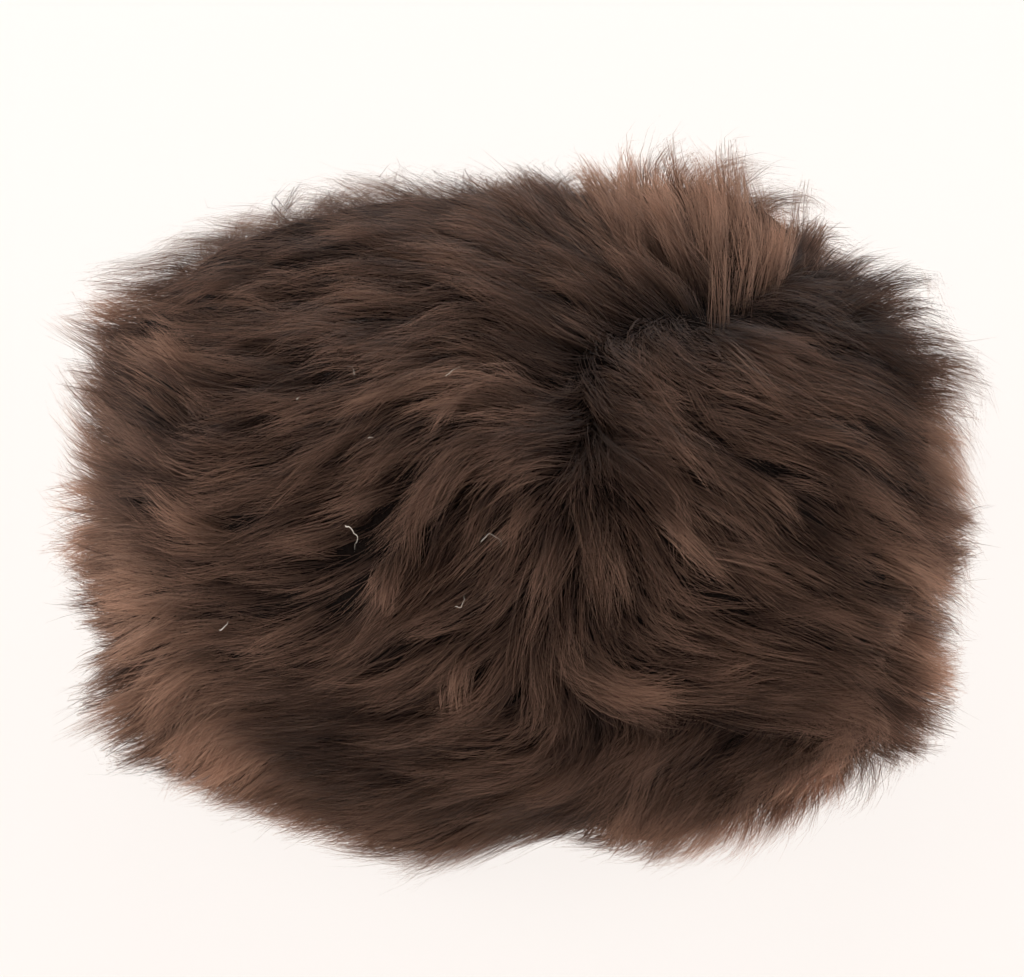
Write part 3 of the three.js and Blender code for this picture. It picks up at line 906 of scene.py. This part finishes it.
class WoolSettings(bpy.types.PropertyGroup):
    lock_length: FloatProperty(name="Lock length", description="Length of a lock of wool",
                               default=0.040, unit="LENGTH")
    strands: IntProperty(name="Strands", description="Strands in each lock", default=34)
    root_spread: FloatProperty(name="Root spread", description="Half width of a lock at its root",
                               default=0.0042, unit="LENGTH")
    tip_spread: FloatProperty(name="Tip spread", description="Half width of a lock at its tip",
                              default=0.0027, unit="LENGTH")
    strand_width: FloatProperty(name="Strand width", description="Width of a strand at its root",
                                default=0.00029, unit="LENGTH")
    roll: FloatProperty(name="Roll", description="How far strands turn about their own length", default=0.5)
    crimp: FloatProperty(name="Crimp", description="Small kinks along a strand",
                         default=0.0016, unit="LENGTH")
    flyaway: FloatProperty(name="Flyaway", description="How far the loosest tips stray",
                           default=0.006, unit="LENGTH")
    wave: FloatProperty(name="Wave", description="How far a strand's tip may sway",
                        default=0.007, unit="LENGTH")
    root_colour: FloatVectorProperty(name="Roots", description="Colour at the roots",
                                     default=(0.009, 0.0046, 0.0032), subtype="COLOR")
    dark_colour: FloatVectorProperty(name="Dark strands", description="Darkest strands",
                                     default=(0.0150, 0.0071, 0.0046), subtype="COLOR")
    light_colour: FloatVectorProperty(name="Light strands", description="Lightest strands",
                                      default=(0.0325, 0.0164, 0.0108), subtype="COLOR")
    # Also the colour of the painted rim light and floor glow on the edge locks
    tip_colour: FloatVectorProperty(name="Tips", description="Bleached tips",
                                    default=(0.52, 0.300, 0.205), subtype="COLOR")
    glow_colour: FloatVectorProperty(name="Glow", description="Colour of light that comes through the wool",
                                     default=(0.55, 0.33, 0.24), subtype="COLOR")
    lint_colour: FloatVectorProperty(name="Lint", description="Colour of the lint",
                                     default=(0.52, 0.46, 0.39), subtype="COLOR")
    lint_width: FloatProperty(name="Lint width", description="Width of a lint fibre",
                              default=0.00024, unit="LENGTH")
    glow: FloatProperty(name="Glow share", description="Share of light that comes through a strand",
                        default=0.33, subtype="FACTOR")


class HideSettings(bpy.types.PropertyGroup):
    dark_colour: FloatVectorProperty(name="Dark suede", description="Darker blotches of the skin",
                                     default=(0.40, 0.27, 0.16), subtype="COLOR")
    light_colour: FloatVectorProperty(name="Light suede", description="Lighter skin",
                                      default=(0.62, 0.47, 0.31), subtype="COLOR")


class StageSettings(bpy.types.PropertyGroup):
    floor_size: FloatProperty(name="Floor size", description="Side of the floor",
                              default=6.0, unit="LENGTH")
    floor_colour: FloatVectorProperty(name="Floor", description="Colour of the floor",
                                      default=(0.06, 0.058, 0.056), subtype="COLOR")
    glow_colour: FloatVectorProperty(name="Floor glow", description="Colour of the lit floor",
                                     default=(1.0, 0.94, 0.90), subtype="COLOR")
    glow: FloatProperty(name="Floor light", description="Strength of the lit floor", default=0.93)
    sky_colour: FloatVectorProperty(name="Surround colour", description="Colour of the light from all round",
                                    default=(1.0, 0.985, 0.965), subtype="COLOR")
    sky: FloatProperty(name="Surround", description="Strength of the light from all round", default=0.36)
    key: FloatProperty(name="Key", description="Power of the soft key light", default=5.0, unit="POWER")
    sides: FloatProperty(name="Sides", description="Power of the lights from both sides",
                         default=38.0, unit="POWER")
    front: FloatProperty(name="Front", description="Power of the low light from the front",
                         default=9.0, unit="POWER")
    rear: FloatProperty(name="Rear", description="Power of the light from behind",
                        default=30.0, unit="POWER")


class HAT_OT_stage(bpy.types.Operator):
    """Sets the floor, the soft lights and the camera"""
    bl_idname = "hat.stage"
    bl_label = "Stage"

    def execute(self, context):
        stage = context.scene.hat_stage
        self.add_floor(stage)
        self.add_light("key_light", KEY_PLACE, stage.key)
        self.add_light("left_light", LEFT_PLACE, stage.sides)
        self.add_light("right_light", RIGHT_PLACE, RIGHT_SHARE * stage.sides)
        self.add_light("front_light", FRONT_PLACE, stage.front)
        self.add_light("rear_light", REAR_PLACE, stage.rear)
        world = bpy.data.worlds.new("surround")
        world.use_nodes = True
        tree = Tree(world.node_tree)
        light = {"Color": rgba(stage.sky_colour), "Strength": stage.sky}
        glow = tree.node("ShaderNodeBackground", {}, light).out()
        tree.node("ShaderNodeOutputWorld", {}, {"Surface": glow})
        context.scene.world = world
        context.scene.view_settings.view_transform = "Standard"
        context.scene.cycles.max_bounces = 3
        context.scene.cycles.diffuse_bounces = 2
        context.scene.cycles.adaptive_threshold = 0.06
        context.scene.cycles.adaptive_min_samples = 12
        self.add_camera(context)
        return {"FINISHED"}

    def add_floor(self, stage):
        half = stage.floor_size / 2
        mesh = bpy.data.meshes.new("floor")
        corners = [(-half, -half, 0), (half, -half, 0), (half, half, 0), (-half, half, 0)]
        mesh.from_pydata(corners, [], [(0, 1, 2, 3)])
        material, tree = new_material("pale_floor")
        shader = tree.node("ShaderNodeBsdfPrincipled", {}, {
            "Base Color": rgba(stage.floor_colour), "Roughness": 0.9, "Specular IOR Level": 0.1,
            "Emission Color": rgba(stage.glow_colour), "Emission Strength": stage.glow})
        tree.node("ShaderNodeOutputMaterial", {}, {"Surface": shader.out()})
        mesh.materials.append(material)
        new_object("floor", mesh)

    def add_light(self, name, place, power):
        light = bpy.data.lights.new(name, "AREA")
        light.size = LIGHT_SIZE
        light.energy = power
        thing = bpy.data.objects.new(name, light)
        thing.location = place
        aim = Vector(LIGHT_AIM) - Vector(place)
        thing.rotation_euler = aim.to_track_quat("-Z", "Y").to_euler()
        bpy.context.scene.collection.objects.link(thing)

    def add_camera(self, context):
        view = View()
        camera = bpy.data.cameras.new("photo_view")
        camera.sensor_width = SENSOR_WIDTH
        camera.lens = SENSOR_WIDTH * view.focal / PHOTO_WIDTH
        thing = bpy.data.objects.new("photo_view", camera)
        turn = Matrix((view.right, view.up, view.back)).transposed()
        thing.matrix_world = Matrix.Translation(Vector(view.eye * MM)) @ turn.to_4x4()
        context.scene.collection.objects.link(thing)
        context.scene.camera = thing


class HAT_OT_hides(bpy.types.Operator):
    """Makes the two tanned skins, smooth and with rounded cut edges"""
    bl_idname = "hat.hides"
    bl_label = "Hides"

    def execute(self, context):
        pelt = Pelt()
        material = hide_material(context.scene.hat_hide)
        thick, edge, seam = -SKIN_THICKNESS, 0.8, pelt.seam
        climb = np.linspace(edge, seam - edge, 12)
        outer = [(0, -edge), *[(reach, 0) for reach in climb], (seam, -edge)]
        inner = [(seam, thick + edge), *[(reach, thick) for reach in climb[::-1]], (0, thick + edge)]
        wall = shell("wall_skin", [loop(pelt, reach, 0, stand) for reach, stand in outer + inner])
        dome = np.linspace(seam + edge + 0.3, pelt.full - 4, 16)
        under = [(reach, thick) for reach in dome[::-1]]
        over = [(reach, 0) for reach in dome]
        lip = [(seam + 0.3, thick + edge), (seam + 0.3, -edge)]
        centre = np.array([[1e-6, 0.0]])
        poles = [pelt.point(centre, 0, thick)[0], pelt.point(centre, 0, 0)[0]]
        rows = [loop(pelt, reach, 0, stand) for reach, stand in under + lip + over]
        crown = shell("crown_skin", rows, poles)
        for thing, node in ((wall, "wall_hide"), (crown, "crown_hide")):
            thing.data.materials.append(material)
            settle(thing, node)
        return {"FINISHED"}


class HAT_OT_underwool(bpy.types.Operator):
    """Makes the dense dark underwool that closes the coat between its locks"""
    bl_idname = "hat.underwool"
    bl_label = "Underwool"

    def execute(self, context):
        pelt = Pelt()
        material = underwool_material(context.scene.hat_wool)
        gap, seam = 0.3, pelt.seam
        spotter = Spotter(pelt, View())
        climb = np.linspace(4, seam - 1, 20)
        outer = [felt_loop(pelt, spotter, reach) for reach in climb]
        inner = [loop(pelt, reach, 0, gap) for reach in climb[::-1]]
        wall = shell("wall_underwool", outer + inner)
        dome = np.linspace(seam + 1, pelt.full - 4, 24)
        under = [loop(pelt, reach, 0, gap) for reach in dome[::-1]]
        over = [felt_loop(pelt, spotter, reach) for reach in dome]
        centre = np.array([[1e-6, 0.0]])
        poles = [pelt.point(centre, 0, gap)[0], pelt.point(centre, UNDERWOOL_SHARE)[0]]
        crown = shell("crown_underwool", under + over, poles)
        for thing, node in ((wall, "wall_fleece"), (crown, "crown_fleece")):
            thing.data.materials.append(material)
            settle(thing, node)
        return {"FINISHED"}


class HAT_OT_locks(bpy.types.Operator):
    """Grows the long wool in locks of strands over both pelts"""
    bl_idname = "hat.locks"
    bl_label = "Locks"

    def execute(self, context):
        wool = context.scene.hat_wool
        pelt, view = Pelt(), View()
        rng = np.random.default_rng(SEED)
        spotter = Spotter(pelt, view)
        lie = Lie(pelt, view, spotter)
        grown = (coat_locks(pelt, lie, spotter, wool, rng), hem_locks(pelt, lie, spotter, wool, rng),
                 tuft_locks(pelt, lie, spotter, rng))
        roots, lines, outward, lock_tone_and_painted_light = (np.concatenate(parts) for parts in zip(*grown))
        group = strand_tree()
        material = wool_material(wool)
        on_wall = pelt.full - np.linalg.norm(roots, axis=1) < pelt.seam
        bearing = np.arctan2(roots[:, 1], roots[:, 0]) % (2 * np.pi)
        by_bearing = np.argsort(bearing)
        by_side = np.argsort(roots[:, 0])
        pieces = list(zip(WALL_WOOL, np.array_split(by_bearing[on_wall[by_bearing]], len(WALL_WOOL))))
        pieces += zip(CROWN_WOOL, np.array_split(by_side[~on_wall[by_side]], len(CROWN_WOOL)))
        for name, chosen in pieces:
            guide = lock_lines(name + "_lines", lines[chosen], outward[chosen], lock_tone_and_painted_light[chosen])
            dress(guide, group, {
                "Strands": wool.strands, "Points": STRAND_POINTS,
                "Root spread": wool.root_spread, "Tip spread": wool.tip_spread, "Width": wool.strand_width,
                "Wave": wool.wave, "Crimp": wool.crimp, "Flyaway": wool.flyaway, "Roll": wool.roll,
                "Clearance": FLOOR_CLEARANCE * MM, "Seed": SEED, "Wool": material})
            piece = plain_mesh(guide, name)
            if len(piece.data.polygons) == 0:
                raise RuntimeError(name + " grew no wool")
            settle(piece, "wall_fleece" if name in WALL_WOOL else "crown_fleece")
        return {"FINISHED"}


class HAT_OT_lint(bpy.types.Operator):
    """Drops the few pale fibres of lint that lie on the wool"""
    bl_idname = "hat.lint"
    bl_label = "Lint"

    def execute(self, context):
        wool = context.scene.hat_wool
        pelt, view = Pelt(), View()
        spotter = Spotter(pelt, view)
        lines, outward = lint_lines(pelt, Lie(pelt, view, spotter), spotter)
        material, tree = new_material("pale_lint")
        shader = tree.node("ShaderNodeBsdfPrincipled", {}, {
            "Base Color": rgba(wool.lint_colour), "Roughness": 0.8})
        tree.node("ShaderNodeOutputMaterial", {}, {"Surface": shader.out()})
        guide = lock_lines("lint_lines", lines, outward, np.zeros(len(lines)))
        dress(guide, strand_tree(), {
            "Strands": 1, "Points": 2 * LOCK_POINTS, "Root spread": 0.0, "Tip spread": 0.0, "Wave": 0.004,
            "Width": wool.lint_width, "Crimp": 0.003, "Flyaway": 0.0, "Clearance": FLOOR_CLEARANCE * MM,
            "Roll": 0.0, "Seed": SEED, "Wool": material})
        settle(plain_mesh(guide, "lint_fibres"), "crown_fleece")
        return {"FINISHED"}


class HAT_PT_panel(bpy.types.Panel):
    """Lists the hat's pieces and their settings"""
    bl_idname = "HAT_PT_panel"
    bl_label = "Sheepskin hat"
    bl_space_type = "VIEW_3D"
    bl_region_type = "UI"
    bl_category = "Hat"

    def draw(self, context):
        for operator in OPERATORS:
            self.layout.operator(operator.bl_idname)
        for settings in (context.scene.hat_wool, context.scene.hat_hide, context.scene.hat_stage):
            for name in settings.__annotations__:
                self.layout.prop(settings, name)


OPERATORS = (HAT_OT_stage, HAT_OT_hides, HAT_OT_underwool, HAT_OT_locks, HAT_OT_lint)
CLASSES = (WoolSettings, HideSettings, StageSettings, *OPERATORS, HAT_PT_panel)


def register():
    for cls in CLASSES:
        bpy.utils.register_class(cls)
    bpy.types.Scene.hat_wool = PointerProperty(type=WoolSettings)
    bpy.types.Scene.hat_hide = PointerProperty(type=HideSettings)
    bpy.types.Scene.hat_stage = PointerProperty(type=StageSettings)


def unregister():
    del bpy.types.Scene.hat_stage
    del bpy.types.Scene.hat_hide
    del bpy.types.Scene.hat_wool
    for cls in reversed(CLASSES):
        bpy.utils.unregister_class(cls)


def main():
    register()
    bpy.ops.hat.stage()
    bpy.ops.hat.hides()
    bpy.ops.hat.underwool()
    bpy.ops.hat.locks()
    bpy.ops.hat.lint()


if __name__ == "__main__":
    main()
